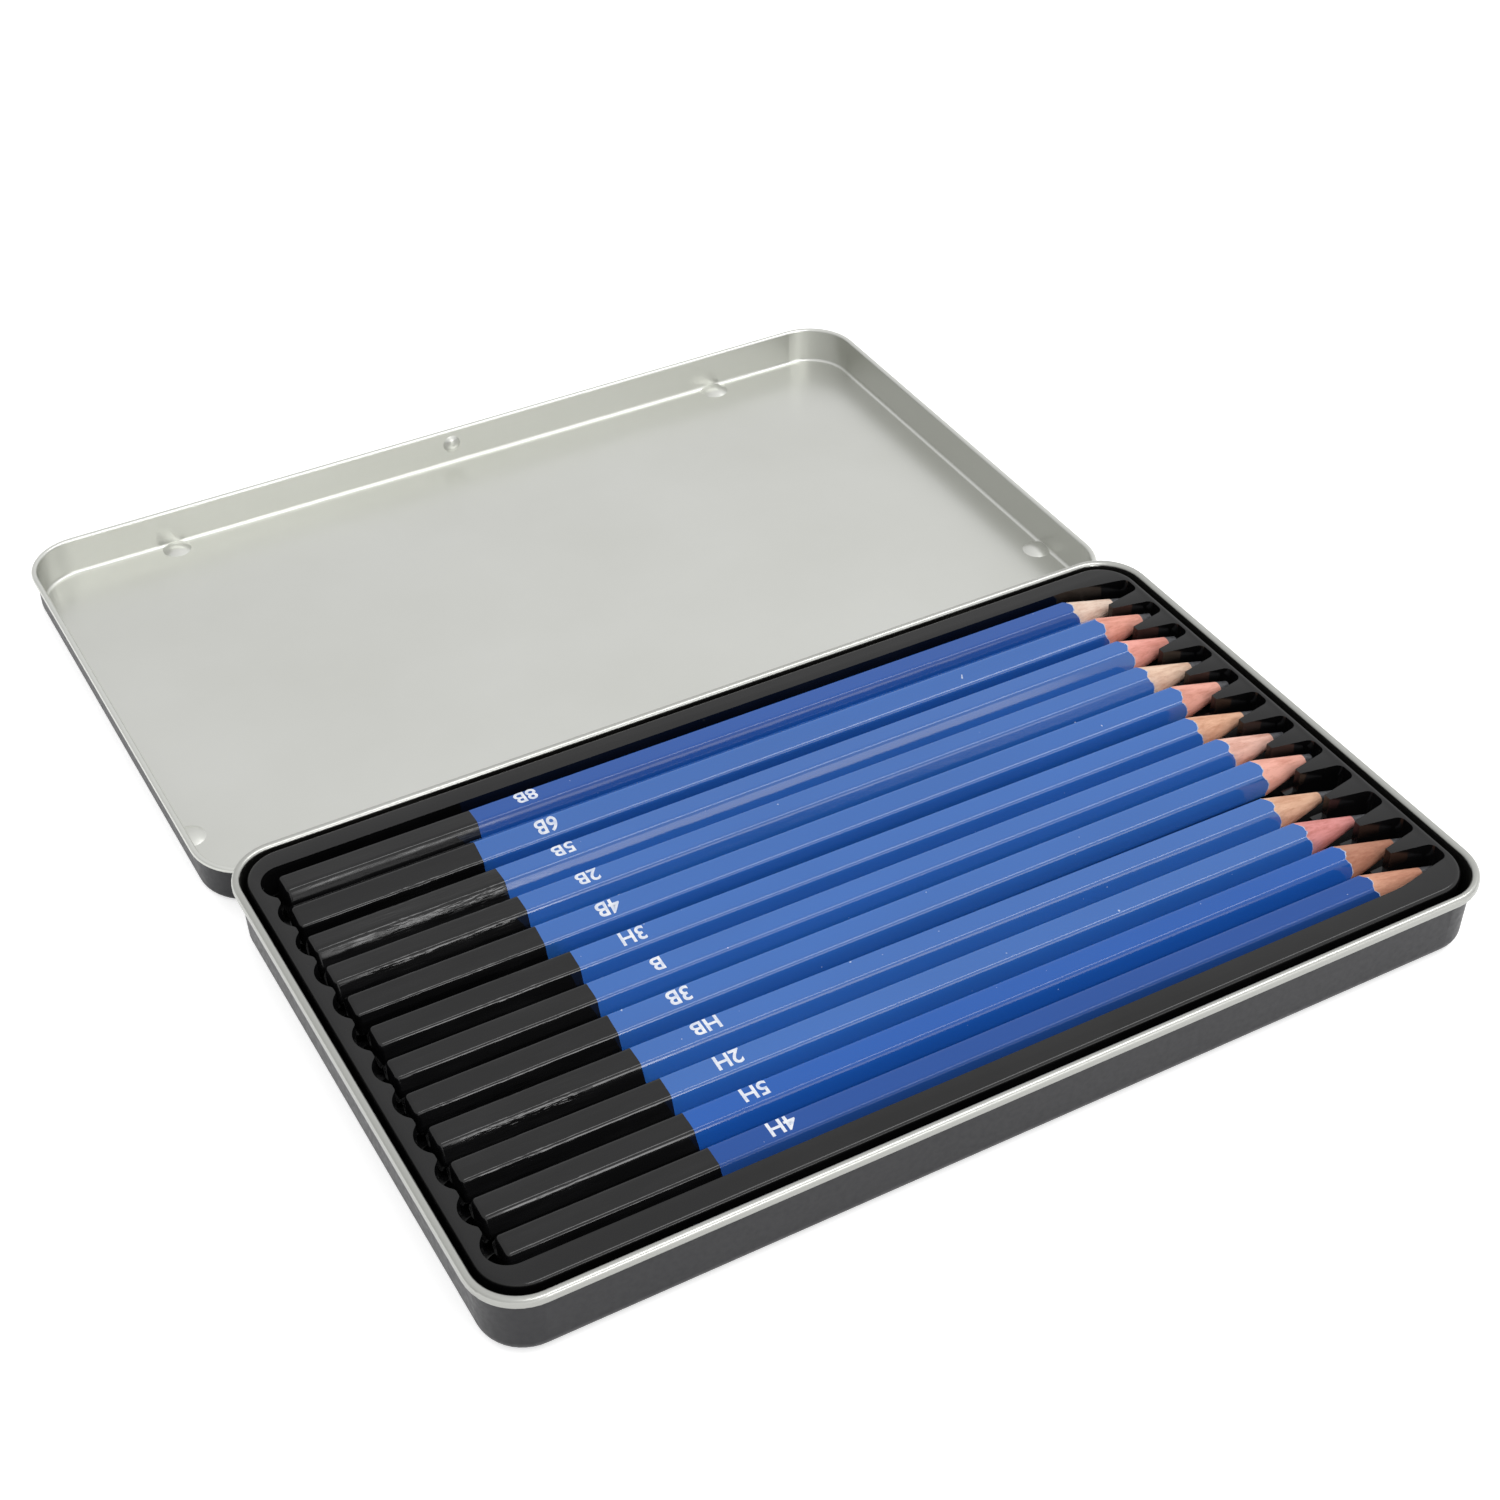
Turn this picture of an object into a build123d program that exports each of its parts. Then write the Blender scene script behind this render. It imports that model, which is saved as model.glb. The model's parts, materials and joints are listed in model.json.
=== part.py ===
from build123d import *
from math import acos, cos, degrees, radians, sin, sqrt, tan
import os

# Graphite pencil tin, open: a hinged tinplate box, a moulded tray and twelve pencils.
# Millimetres. X runs along the box, Y towards the hinge, Z up. The origin is the middle
# of the underside of the base. The lid lies open behind the base, turned by half a turn.

# Pencils
pencil_length = 178.5       # the longest one, sharpened
across_flats = 6.9
point_angle = 12.5          # degrees, half of the sharpened cone
seat_gap = 0.1              # between a pencil and the floor of its trough
lead_glue_gap = 0.02
rear_skin = 0.5             # lacquer over the rear end of the lead

# Each pencil: grade, gap to the left end of the well, length worn off, lead diameter, radius of the worn tip,
# roll in degrees towards the front, shift towards the hinge at the rear and at the tip, lift of the tip.
pencils = [
    ("8b", 1.6, 1.0, 2.8, 0.55, -2.0, 0.00, 0.10, 0.00),
    ("6b", 0.5, 0.2, 2.8, 0.85, 22.0, 0.10, 0.35, 0.55),
    ("5b", 0.4, 0.1, 2.8, 0.90, -3.0, 0.00, 0.30, 0.70),
    ("2b", 0.4, 0.0, 2.4, 0.55, 1.0, 0.10, 0.25, 0.60),
    ("4b", 0.7, 0.5, 2.8, 0.90, 15.0, 0.20, 0.35, 0.60),
    ("3h", 1.3, 0.9, 2.0, 0.30, 8.0, 0.10, 0.15, 0.10),
    ("b", 0.8, 0.3, 2.4, 0.55, 4.0, 0.10, 0.30, 0.40),
    ("3b", 0.5, 0.2, 2.4, 0.80, 10.4, 0.20, 0.40, 0.60),
    ("hb", 1.0, 2.0, 2.2, 0.25, 1.0, 0.35, -0.25, 0.00),
    ("2h", 1.0, 1.5, 2.0, 0.25, 5.3, 0.40, -0.10, 0.00),
    ("5h", 1.0, 0.5, 2.0, 0.50, 1.0, 0.45, -0.05, 0.00),
    ("4h", 1.1, 0.6, 2.0, 0.35, 2.0, 0.45, 0.00, 0.00),
]

# Moulded tray
tray_skin = 0.5
end_play = 1.5              # the well is this much longer than a pencil
left_flange = 3.6           # flange beyond the ends of the well
right_flange = 1.4
side_flange = 4.64          # flange beside the outermost slots
tray_sink = 0.4             # the flange lies below the rim of the tin
foot_rise = 1.15            # the skirt ends above the floor, on the bend of the base
tray_shift = 0.5            # the tray sits a little nearer the hinge
tray_corner_gap = 0.5       # the corners of the flange are tighter than the rim round them
tray_edge_radius = 0.9
skirt_draft = 1.5           # degrees
trough_side_gap = 0.4       # beside a pencil
ridge_width = 0.56          # between two troughs
turn_in_length = 6.6        # the outermost edges of the well curve in towards the fingers
scallop_overlap = 0.17      # the scallops at the left end are wider than a slot by twice this
scallop_bite = 1.6          # they cut this far into the flange
scallop_cusp_radius = 0.9
ridge_drop = 5.8            # from the flange down to the ridges between the troughs
barrel_sink = 0.35          # the upper flat of a pencil lies below the flange
cup_ledge = 0.25            # between the scallop and the cupped end of the trough below it
trough_corner = 1.0         # slope between the floor and the side of a trough
finger_length = 8.0         # the fingers divide the pockets for the points
finger_width = 1.4
step_length = 2.7           # each finger starts with a low step
finger_step_drop = 4.1
pocket_end_width = 3.8
pocket_end_radius = 1.5

# Base tin
tin_height = 14.2
tray_end_gap = 1.0          # between the flange of the tray and the rolled rim
tray_side_gap = 1.2
rim_corner_radius = 9.6
sheet = 0.35                # thickness of the tinplate
rim_bead_width = 1.5        # the rolled rim is taller than it is wide
rim_bead_height = 2.1
wall_draft = 2.0            # degrees
base_bend = 2.5             # outside radius between floor and wall
bend_run = 0.6              # flat strip inside the bend
curl_end_gap = 0.25         # from the end of a roll to the wall under it

# Lid tin
lid_bead = 1.2              # diameter of the rolled edge
lid_clearance = 0.25        # between the rim of the base and the wall of the lid
ceiling_gap = 1.2           # above the rim of the base when the lid is shut
lid_draft = 0.5             # degrees
lid_bend = 1.1              # outside radius between floor and wall

# Hinge: a tongue of the base curls round the rolled edge of the lid
hinge_spread = 116.0        # between the two tongues
tongue_width = 8.0
tongue_wrap = 250.0         # degrees of curl
hinge_clearance = 0.08
tongue_window_height = 4.6
window_side_gap = 0.6
lid_window_height = 2.4
window_depth = 0.45         # just through the wall, clear of the end of the roll

# Dimples pressed into the lid: two far stops, two side stops and a catch that snaps under the rim
stop_half_width = 3.0
stop_rise = 0.95            # above the floor of the lid
stop_inset = 2.0            # middle of the dimple, inwards from the wall
far_stop_spread = 129.0
side_stop_offset = 34.6     # from the middle of the lid towards the hinge
catch_half_width = 2.0
catch_reach = 0.8           # how far the catch stands inwards
catch_drop = 3.45           # middle of the catch below the edge of the lid

near = 0.01                 # tolerance for picking points by their place

# Worked out from the sizes above
slot_count = len(pencils)
barrel_radius = across_flats / sqrt(3)
trough_width = across_flats + 2 * trough_side_gap
slot_pitch = trough_width + ridge_width
tray_length = left_flange + pencil_length + end_play + right_flange
tray_width = slot_count * slot_pitch + 2 * side_flange
tray_corner_radius = rim_corner_radius - rim_bead_width - tray_corner_gap
tray_top = tin_height - tray_sink
tray_foot = sheet + foot_rise
trough_floor = tray_top - barrel_sink - across_flats - seat_gap
well_start = left_flange - tray_length / 2
pocket_end = tray_length / 2 - right_flange
finger_start = pocket_end - finger_length
finger_step = finger_start - step_length
scallop_radius = slot_pitch / 2 + scallop_overlap
scallop_centre = well_start - scallop_bite + scallop_radius
cup_centre = scallop_centre - scallop_radius + cup_ledge + trough_width / 2
trough_length = (finger_step + finger_start) / 2 - cup_centre
tin_length = tray_length + 2 * (tray_end_gap + rim_bead_width)
tin_width = tray_width + 2 * (tray_side_gap + rim_bead_width)
closed_height = tin_height + ceiling_gap + sheet
lid_depth = closed_height / 2 + lid_bead / 2
lid_length = tin_length + 2 * (lid_clearance + lid_bead)
lid_width = tin_width + 2 * (lid_clearance + lid_bead)
lid_corner_radius = rim_corner_radius + lid_clearance + lid_bead
hinge_y = lid_width / 2 - lid_bead / 2
hinge_z = closed_height / 2
lid_centre_y = 2 * hinge_y
lid_lean = hinge_z * tan(radians(lid_draft))


def roll_under(radius):
    """Degrees that a roll turns after it points down, until its end nearly meets the wall."""
    return degrees(acos((sheet / 2 + curl_end_gap - radius) / (radius + sheet / 2)))


def dome_radius(half_width, rise):
    """Radius of the ball whose cap has this half width and rise."""
    return (half_width ** 2 + rise ** 2) / (2 * rise)


def formed_wall(section, length, width, radius, centre_y=0):
    """A wall section carried round a rounded rectangle: straight runs between turned corners.

    In the section, x points outwards from the rectangle and y points up.
    """
    long_run = length / 2 - radius
    short_run = width / 2 - radius
    with BuildPart() as wall:
        front_plane = Plane((long_run, centre_y - width / 2, 0), x_dir=(0, -1, 0), z_dir=(-1, 0, 0))
        with BuildSketch(front_plane) as front:
            add(section)
        extrude(amount=long_run)
        corner_axis = Axis((long_run, centre_y - short_run, 0), (0, 0, 1))
        revolve(front.sketch, axis=corner_axis, revolution_arc=90)
        with BuildSketch(Plane((length / 2, centre_y, 0), x_dir=(1, 0, 0), z_dir=(0, -1, 0))):
            add(section)
        extrude(amount=short_run)
        mirror(about=Plane.YZ)
        mirror(about=Plane.XZ.offset(-centre_y))
    return wall.part


def slot_y(index):
    """Middle of one trough, counted from the hinge side, seen from the middle of the tray."""
    return ((slot_count - 1) / 2 - index) * slot_pitch


def tray_form(inset):
    """The outer form of the tray, moved inwards by the inset, with all its hollows."""
    down = Plane(origin=(0, tray_shift, tray_top - inset), x_dir=(1, 0, 0), z_dir=(0, 0, -1))
    rows = [slot_y(index) for index in range(slot_count)]
    left_edge = well_start - inset
    half_well = rows[0] + scallop_radius + inset
    half_pocket = (slot_pitch - finger_width) / 2 + inset
    half_pocket_end = pocket_end_width / 2 + inset
    outer_pocket_edge = rows[0] + half_pocket
    half_trough = trough_width / 2 + inset
    trough_depth = tray_top - ridge_drop - trough_floor

    # One trough, along X with its top at z = 0: a flat-bottomed channel with a cupped end
    with BuildPart() as trough:
        with BuildSketch(Plane.XZ) as cup:
            with BuildLine():
                Polyline(
                    (0, 0), (0, -trough_depth), (half_trough - trough_corner, -trough_depth),
                    (half_trough, trough_corner - trough_depth), (half_trough, 0), close=True,
                )
            make_face()
        revolve(axis=Axis.Z)
        with BuildSketch(Plane.YZ):
            add(cup.sketch_local)
            mirror(about=Plane.YZ)
        extrude(amount=trough_length)

    with BuildPart() as form:
        with BuildSketch(down):
            RectangleRounded(tray_length - 2 * inset, tray_width - 2 * inset, tray_corner_radius - inset)
        extrude(amount=tray_top - tray_foot + inset, taper=skirt_draft)
        if inset == 0:
            fillet(form.edges().group_by(Axis.Z)[-1], tray_edge_radius)

        # The well over the pencils: full height as far as the fingers, ridges as far as their low steps
        for reach, depth in ((finger_start, finger_step_drop), (finger_step, ridge_drop)):
            with BuildSketch(down) as well:
                with BuildLine():
                    Polyline((left_edge, 0), (left_edge, rows[0]), (scallop_centre, half_well))
                    top = Line((scallop_centre, half_well), (finger_start - turn_in_length, half_well))
                    turn = TangentArc(top @ 1, (finger_start, outer_pocket_edge), tangent=(1, 0))
                    Polyline(turn @ 1, (pocket_end, outer_pocket_edge), (pocket_end, 0))
                    mirror(about=Plane.XZ)
                make_face()
                with Locations([(scallop_centre, row) for row in rows]):
                    Circle(scallop_radius + inset)
                cusps = well.vertices().filter_by_position(Axis.X, left_edge - near, left_edge + near)
                fillet(cusps.filter_by_position(Axis.Y, -rows[0], rows[0]), scallop_cusp_radius)
                with Locations((reach + inset, 0)):
                    Rectangle(tray_length, tray_width, align=(Align.MAX, Align.CENTER), mode=Mode.INTERSECT)
            extrude(amount=depth, mode=Mode.SUBTRACT)

        # Pockets for the points, between the fingers
        with BuildSketch(down) as pockets:
            for row in rows:
                with BuildLine():
                    Polyline(
                        (finger_step, row - half_pocket),
                        (finger_start, row - half_pocket),
                        (pocket_end + inset, row - half_pocket_end),
                        (pocket_end + inset, row + half_pocket_end),
                        (finger_start, row + half_pocket),
                        (finger_step, row + half_pocket),
                        close=True,
                    )
                make_face()
            fillet(pockets.vertices().group_by(Axis.X)[-1], pocket_end_radius + inset)
        extrude(amount=tray_top - trough_floor, mode=Mode.SUBTRACT)

        with Locations([(cup_centre, tray_shift + row, tray_top - ridge_drop - inset) for row in rows]):
            add(trough.part, mode=Mode.SUBTRACT)
    return form.part


os.makedirs("parts", exist_ok=True)

# Base tin: floor, bend, drafted wall and rolled rim in one section, swept round the box
bead_radius = (rim_bead_width - sheet) / 2
curl_start = tin_height - sheet / 2 - bead_radius * (1 - sin(radians(wall_draft)))
base_loop_length = tin_length - 2 * rim_bead_width + sheet
base_loop_width = tin_width - 2 * rim_bead_width + sheet
base_loop_radius = rim_corner_radius - rim_bead_width + sheet / 2
wall_lean = tan(radians(wall_draft))
foot_lean = curl_start * wall_lean
floor_reach = foot_lean + base_bend + bend_run

with BuildSketch() as base_section:
    with BuildLine():
        wall = FilletPolyline(
            (-floor_reach, sheet / 2), (-foot_lean, sheet / 2), (0, curl_start), radius=base_bend - sheet / 2
        )
        over = JernArc(wall @ 1, wall % 1, radius=bead_radius, arc_size=-(180 - wall_draft))
        down = Line(over @ 1, over @ 1 + (over % 1) * (rim_bead_height - rim_bead_width))
        JernArc(down @ 1, down % 1, radius=bead_radius, arc_size=-roll_under(bead_radius))
    trace(line_width=sheet)
base_wall = formed_wall(base_section.sketch, base_loop_length, base_loop_width, base_loop_radius)

with BuildPart() as base_tin:
    add(base_wall)
    with BuildSketch():
        RectangleRounded(
            base_loop_length - 2 * floor_reach,
            base_loop_width - 2 * floor_reach,
            base_loop_radius - floor_reach,
        )
    extrude(amount=sheet)

    # Hinge tongues: each is cut out of the back wall and curled round the edge of the lid
    tongue_radius = lid_bead / 2 + hinge_clearance + sheet / 2
    tongue_level = hinge_z - tongue_radius
    wall_at_tongue = base_loop_width / 2 - (curl_start - tongue_level) * wall_lean
    with Locations(
        (-hinge_spread / 2, base_loop_width / 2, tongue_level + sheet / 2),
        (hinge_spread / 2, base_loop_width / 2, tongue_level + sheet / 2),
    ):
        Box(tongue_width, 4 * sheet, tongue_window_height, mode=Mode.SUBTRACT,
            align=(Align.CENTER, Align.CENTER, Align.MIN))
    with BuildSketch(Plane.YZ.offset(-hinge_spread / 2), Plane.YZ.offset(hinge_spread / 2)):
        with BuildLine():
            tab = Line((wall_at_tongue, tongue_level), (hinge_y, tongue_level))
            JernArc(tab @ 1, tab % 1, radius=tongue_radius, arc_size=tongue_wrap)
        trace(line_width=sheet)
    extrude(amount=tongue_width / 2, both=True)

base_tin.part.label = "base_tin"
export_step(base_tin.part, "parts/base_tin.step")

# Lid tin, as it lies open: floor down, rolled edge up
lid_curl_radius = (lid_bead - sheet) / 2
lid_loop_length = lid_length - 2 * lid_bead + sheet
lid_loop_width = lid_width - 2 * lid_bead + sheet
lid_loop_radius = lid_corner_radius - lid_bead + sheet / 2
lid_curl_start = lid_depth - sheet / 2 - lid_curl_radius * (1 - sin(radians(lid_draft)))
lid_floor_reach = lid_lean + lid_bend + bend_run

# The bosses of the dimples end in the middle of the sheet
far_wall = lid_centre_y + lid_width / 2 - lid_bead
side_wall = lid_length / 2 - lid_bead
stop_radius = dome_radius(stop_half_width, stop_rise)
stop_z = sheet + stop_rise - stop_radius
stop_y = far_wall - lid_lean - stop_inset
stop_x = side_wall - lid_lean - stop_inset
side_stop_y = lid_centre_y - side_stop_offset
catch_radius = dome_radius(catch_half_width, catch_reach)
catch_y = far_wall - catch_reach + catch_radius
catch_z = lid_depth - catch_drop
stop_points = [
    (-far_stop_spread / 2, stop_y, stop_z),
    (far_stop_spread / 2, stop_y, stop_z),
    (-stop_x, side_stop_y, stop_z),
    (stop_x, side_stop_y, stop_z),
]
with BuildPart() as lid_form:
    with BuildSketch(Plane.XY.offset(sheet / 2)):
        with Locations((0, lid_centre_y)):
            RectangleRounded(
                lid_loop_length - 2 * lid_lean, lid_loop_width - 2 * lid_lean, lid_loop_radius - lid_lean
            )
    extrude(amount=lid_curl_start - sheet / 2, taper=-lid_draft)
    fillet(lid_form.edges().group_by(Axis.Z)[0], lid_bend - sheet / 2)

with BuildPart() as lid_bosses:
    with Locations(stop_points):
        Sphere(stop_radius)
    with Locations((0, catch_y, catch_z)):
        Sphere(catch_radius)
    add(lid_form.part, mode=Mode.INTERSECT)

with BuildSketch() as lid_section:
    with BuildLine():
        lid_wall = FilletPolyline(
            (-lid_floor_reach, sheet / 2), (-lid_lean, sheet / 2), (0, lid_curl_start),
            radius=lid_bend - sheet / 2,
        )
        lid_over = JernArc(lid_wall @ 1, lid_wall % 1, radius=lid_curl_radius, arc_size=-(180 - lid_draft))
        JernArc(lid_over @ 1, lid_over % 1, radius=lid_curl_radius, arc_size=-roll_under(lid_curl_radius))
    trace(line_width=sheet)
lid_side = formed_wall(lid_section.sketch, lid_loop_length, lid_loop_width, lid_loop_radius, lid_centre_y)

with BuildPart() as lid_tin:
    add(lid_side)
    with BuildSketch():
        with Locations((0, lid_centre_y)):
            RectangleRounded(
                lid_loop_length - 2 * lid_floor_reach,
                lid_loop_width - 2 * lid_floor_reach,
                lid_loop_radius - lid_floor_reach,
            )
    extrude(amount=sheet)

    # Windows that the tongues pass through, cut up to the rolled edge and no further
    with Locations(
        (-hinge_spread / 2, lid_centre_y - lid_loop_width / 2, hinge_z),
        (hinge_spread / 2, lid_centre_y - lid_loop_width / 2, hinge_z),
    ):
        Box(tongue_width + 2 * window_side_gap, window_depth, lid_window_height,
            mode=Mode.SUBTRACT, align=(Align.CENTER, Align.CENTER, Align.MAX))

    # Dimples: each adds a hollow boss to the sheet and leaves its dent open outside
    add(lid_bosses.part)
    with Locations(stop_points):
        Sphere(stop_radius - sheet, mode=Mode.SUBTRACT)
    with Locations((0, catch_y, catch_z)):
        Sphere(catch_radius - sheet, mode=Mode.SUBTRACT)

lid_tin.part.label = "lid_tin"
export_step(lid_tin.part, "parts/lid_tin.step")

# Tray: one moulded skin, the upper form less the form one skin thickness below it
upper_form = tray_form(0)
lower_form = tray_form(tray_skin)
with BuildPart() as insert_tray:
    add(upper_form)
    add(lower_form, mode=Mode.SUBTRACT)

insert_tray.part.label = "insert_tray"
export_step(insert_tray.part, "parts/insert_tray.step")

# Pencils: a lacquered hexagonal casing with its sharpened cone, and a lead glued into its bore
cone_slope = tan(radians(point_angle))
for index, pencil in enumerate(pencils):
    grade, rear_gap, worn, lead_size, tip_radius, roll, rear_shift, tip_shift, lift = pencil
    rear_x = well_start + rear_gap
    lead_end = pencil_length - worn
    apex = lead_end + tip_radius / cone_slope
    wood_end = apex - lead_size / 2 / cone_slope
    lowest = barrel_radius * cos(radians(30 - abs(roll)))
    rest = Vector(rear_x, tray_shift + slot_y(index) + rear_shift, trough_floor + seat_gap + lowest)
    along = Vector(lead_end, tip_shift - rear_shift, lift).normalized()
    lean = Vector(0, -sin(radians(roll)), cos(radians(roll)))
    end_plane = Plane(origin=rest, x_dir=lean, z_dir=along)
    side_plane = Plane(origin=rest, x_dir=along, z_dir=end_plane.y_dir)
    middle_line = Axis(rest, along)

    with BuildPart() as casing:
        with BuildSketch(end_plane):
            RegularPolygon(across_flats / 2, 6, major_radius=False, rotation=30)
        extrude(amount=wood_end)
        with BuildSketch(side_plane):
            with BuildLine():
                Polyline(
                    (0, 0), (0, barrel_radius), (apex - barrel_radius / cone_slope, barrel_radius),
                    (wood_end, lead_size / 2), (wood_end, 0),
                    close=True,
                )
            make_face()
        revolve(axis=middle_line, mode=Mode.INTERSECT)
        with BuildSketch(end_plane.offset(rear_skin)):
            Circle(lead_size / 2)
        extrude(amount=wood_end, mode=Mode.SUBTRACT)

    with BuildPart() as lead:
        with BuildSketch(side_plane):
            with BuildLine():
                core = lead_size / 2 - lead_glue_gap
                Polyline(
                    (rear_skin + lead_glue_gap, 0), (rear_skin + lead_glue_gap, core),
                    (apex - core / cone_slope, core), (lead_end, tip_radius), (lead_end, 0),
                    close=True,
                )
            make_face()
        revolve(axis=middle_line)

    casing.part.label = f"pencil_{grade}_casing"
    lead.part.label = f"pencil_{grade}_lead"
    export_step(casing.part, f"parts/pencil_{grade}_casing.step")
    export_step(lead.part, f"parts/pencil_{grade}_lead.step")
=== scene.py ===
import bpy, bmesh, json, math
from mathutils import Matrix, Vector

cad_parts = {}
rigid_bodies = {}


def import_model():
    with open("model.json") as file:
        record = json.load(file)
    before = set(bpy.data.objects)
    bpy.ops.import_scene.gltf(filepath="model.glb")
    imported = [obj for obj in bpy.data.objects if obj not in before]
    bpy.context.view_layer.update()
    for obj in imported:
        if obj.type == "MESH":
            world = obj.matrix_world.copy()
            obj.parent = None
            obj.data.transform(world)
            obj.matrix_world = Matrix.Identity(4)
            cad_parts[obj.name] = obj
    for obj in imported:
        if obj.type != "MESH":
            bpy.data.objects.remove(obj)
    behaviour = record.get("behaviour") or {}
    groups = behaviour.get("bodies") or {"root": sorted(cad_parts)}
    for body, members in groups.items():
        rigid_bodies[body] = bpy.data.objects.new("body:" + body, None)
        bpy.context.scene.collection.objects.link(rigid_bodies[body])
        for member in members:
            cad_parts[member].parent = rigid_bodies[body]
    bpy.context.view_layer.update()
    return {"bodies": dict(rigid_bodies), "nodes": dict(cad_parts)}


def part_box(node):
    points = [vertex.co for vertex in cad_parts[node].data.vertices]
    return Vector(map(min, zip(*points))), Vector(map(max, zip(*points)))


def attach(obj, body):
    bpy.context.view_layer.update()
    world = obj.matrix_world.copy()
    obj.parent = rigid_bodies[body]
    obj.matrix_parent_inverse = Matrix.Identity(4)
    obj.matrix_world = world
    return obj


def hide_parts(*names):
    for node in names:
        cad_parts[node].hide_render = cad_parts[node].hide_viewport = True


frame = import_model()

mm = 0.001
nodes = frame["nodes"]
print("frame loaded:", len(nodes), "nodes")


# Small helpers for node trees. A Wire is one output in a tree, and sums are written on it as plain arithmetic.
class Wire:
    def __init__(self, tree, socket):
        self.tree = tree
        self.socket = socket

    def math(self, operation, other=None):
        node = self.tree.nodes.new("ShaderNodeMath")
        node.operation = operation
        plug(self.tree, self, node.inputs[0])
        if other is not None:
            plug(self.tree, other, node.inputs[1])
        return Wire(self.tree, node.outputs[0])

    def __add__(self, other):
        return self.math("ADD", other)

    def __sub__(self, other):
        return self.math("SUBTRACT", other)

    def __mul__(self, other):
        return self.math("MULTIPLY", other)

    def __truediv__(self, other):
        return self.math("DIVIDE", other)

    def above(self, other):
        return self.math("GREATER_THAN", other)

    def below(self, other):
        return self.math("LESS_THAN", other)


def plug(tree, value, socket):
    if isinstance(value, Wire):
        tree.links.new(value.socket, socket)
    else:
        socket.default_value = value


def addNode(tree, kind, settings=None, inputs=None):
    node = tree.nodes.new(kind)
    for name, value in (settings or {}).items():
        setattr(node, name, value)
    for name, value in (inputs or {}).items():
        plug(tree, value, node.inputs[name])
    return node


def vectorMath(tree, operation, a, b=None):
    node = addNode(tree, "ShaderNodeVectorMath", {"operation": operation})
    plug(tree, a, node.inputs[0])
    if b is not None:
        plug(tree, b, node.inputs[1])
    return Wire(tree, node.outputs["Value" if operation == "DOT_PRODUCT" else "Vector"])


def mixColour(tree, factor, a, b):
    node = addNode(tree, "ShaderNodeMix", {"data_type": "RGBA"})
    plug(tree, factor, node.inputs[0])
    plug(tree, a, node.inputs[6])
    plug(tree, b, node.inputs[7])
    return Wire(tree, node.outputs[2])


def mixValue(tree, factor, a, b):
    node = addNode(tree, "ShaderNodeMix", {"data_type": "FLOAT"})
    plug(tree, factor, node.inputs[0])
    plug(tree, a, node.inputs[2])
    plug(tree, b, node.inputs[3])
    return Wire(tree, node.outputs[0])


def noiseWire(tree, coords, scale, detail=3.0, roughness=0.5, stretch=(1, 1, 1), turn=(0, 0, 0)):
    spread = addNode(tree, "ShaderNodeMapping", {}, {"Vector": coords, "Scale": stretch, "Rotation": turn})
    texture = addNode(tree, "ShaderNodeTexNoise", {}, {
        "Vector": Wire(tree, spread.outputs[0]), "Scale": scale, "Detail": detail, "Roughness": roughness})
    return Wire(tree, texture.outputs["Fac"])


def ramp(tree, value, low, high, outLow=0.0, outHigh=1.0):
    node = addNode(tree, "ShaderNodeMapRange", {"clamp": True})
    for index, item in enumerate((value, low, high, outLow, outHigh)):
        plug(tree, item, node.inputs[index])
    return Wire(tree, node.outputs[0])


def startMaterial(name):
    material = bpy.data.materials.new(name)
    material.use_nodes = True
    tree = material.node_tree
    shader = tree.nodes["Principled BSDF"]
    place = addNode(tree, "ShaderNodeTexCoord")
    return material, tree, shader, Wire(tree, place.outputs["Object"])


def bumpInto(tree, shader, height, distance, strength=1.0):
    node = addNode(tree, "ShaderNodeBump", {}, {"Height": height, "Distance": distance, "Strength": strength})
    tree.links.new(node.outputs[0], shader.inputs["Normal"])


def rgb(hexCode):
    parts = [int(hexCode[i:i + 2], 16) / 255 for i in (0, 2, 4)]
    return tuple(c / 12.92 if c < 0.04045 else ((c + 0.055) / 1.055) ** 2.4 for c in parts) + (1.0,)


def shaded(colour, shade):
    return tuple(c * shade for c in colour[:3]) + (1.0,)


def giveMaterial(piece, *materials):
    piece.data.materials.clear()
    for material in materials:
        piece.data.materials.append(material)


def meshNow(piece):
    bpy.context.view_layer.update()
    graph = bpy.context.evaluated_depsgraph_get()
    return bpy.data.meshes.new_from_object(piece.evaluated_get(graph))


def addObject(name, data):
    piece = bpy.data.objects.new(name, data)
    bpy.context.scene.collection.objects.link(piece)
    return piece


# Camera and studio: a long soft box overhead, two in front and a pale sky all round
studio = {
    "cameraPlace": (-0.1719, -0.2769, 0.3070),
    "cameraAim": (0.00843, 0.05256, 0.0),
    "cameraRoll": -0.009,
    "lens": 61.1,
    "sensorWidth": 36.0,
    "clipStart": 0.01,
    "lampAim": (0, 0.05, 0),
    "lamps": {                           # place, size, power
        "overheadBox": ((0.34, -0.40, 0.95), (1.5, 0.20), 3.6),
        "frontBox": ((0.33, -1.03, 0.30), (0.62, 0.34), 0.9),
        "frontSpot": ((0.19, -0.98, 0.24), (0.14, 0.28), 0.55),
    },
    "softAxis": (0, 0.55, 0.83),         # what lights matt surfaces grows along this axis
    "softSpan": (-0.4, 0.8),
    "softLevels": (0.06, 1.02),
    "mirrorAxis": (0.45, -0.85, 0.25),   # and what gloss and metal mirror along this one
    "mirrorSpan": (-0.7, 0.7),
    "mirrorLevels": (0.66, 0.92),
    "frontWallLevel": 1.0,               # the bright wall of the room in front, low down
    "frontWallTop": (0.40, 0.56),
    "frontWallSide": (-0.75, -0.5),
    "floorReach": 6.0,
    "floorDrop": 0.2 * mm,
    "floorGlow": 0.6,
    "floorTones": (0.84, 0.88),
    "floorRoughness": 0.9,
    "floorGloss": 0.1,
    "floorGrain": 14.0,
}


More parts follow.
